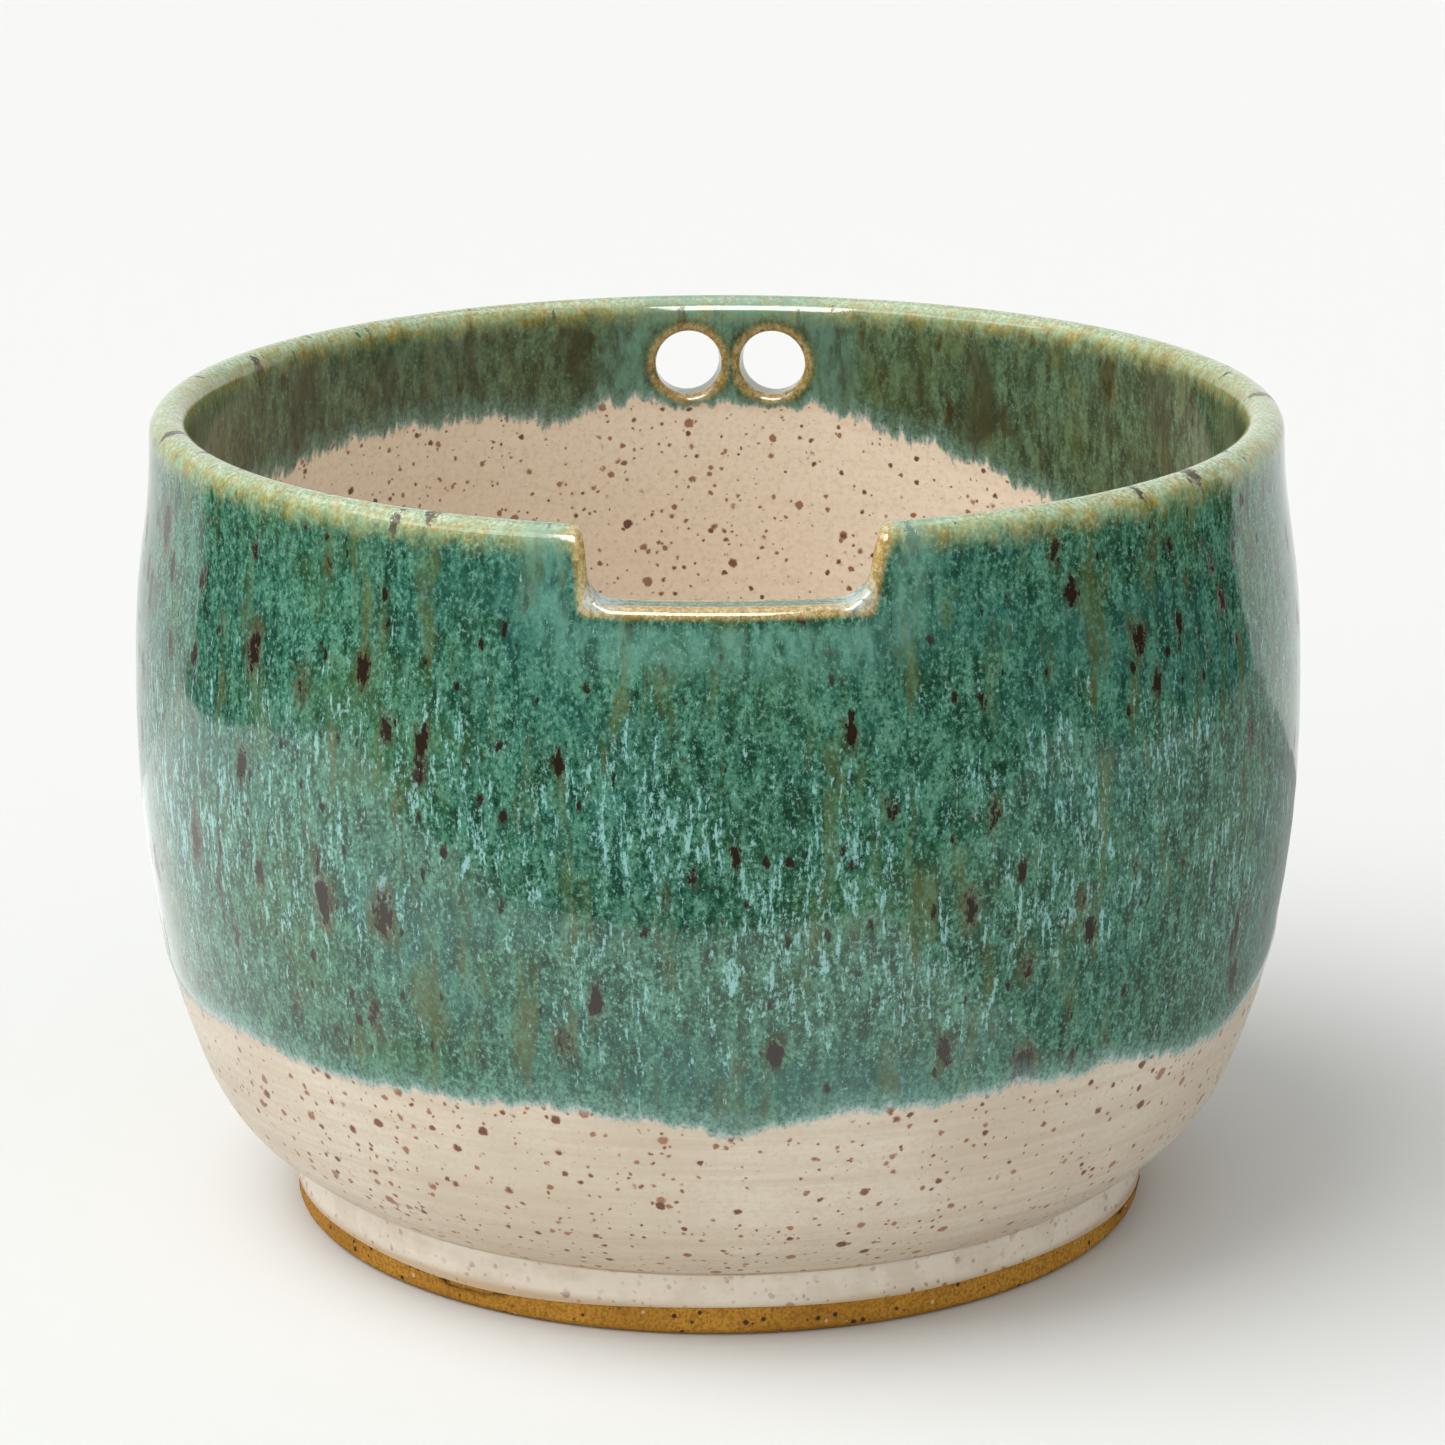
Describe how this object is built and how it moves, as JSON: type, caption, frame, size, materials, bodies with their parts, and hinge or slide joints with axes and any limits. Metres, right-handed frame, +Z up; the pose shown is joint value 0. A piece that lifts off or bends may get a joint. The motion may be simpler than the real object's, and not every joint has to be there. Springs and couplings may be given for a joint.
{
  "type": "yarn bowl",
  "caption": "Footed, round-bellied stoneware yarn bowl with a wide notch in the rim and a pair of needle holes in the wall opposite.",
  "frame": {"origin": "centre of the foot ring's resting face, on the bowl's axis", "axes": "+Z up along the bowl's axis; -Y towards the needle notch; +Y towards the two needle holes"},
  "size_m": [0.151, 0.151, 0.106],
  "materials": {
    "bare_stoneware": "bare, sandy, toasted speckled stoneware",
    "cream_glaze": "satin cream with iron speckles",
    "green_glaze": "glossy streaked green, breaking amber on edges"
  },
  "bodies": {
    "root": {"stoneware_body": "bare_stoneware", "cream_liner": "cream_glaze", "cream_outside": "cream_glaze", "green_glaze": "green_glaze"}
  },
  "joints": []
}
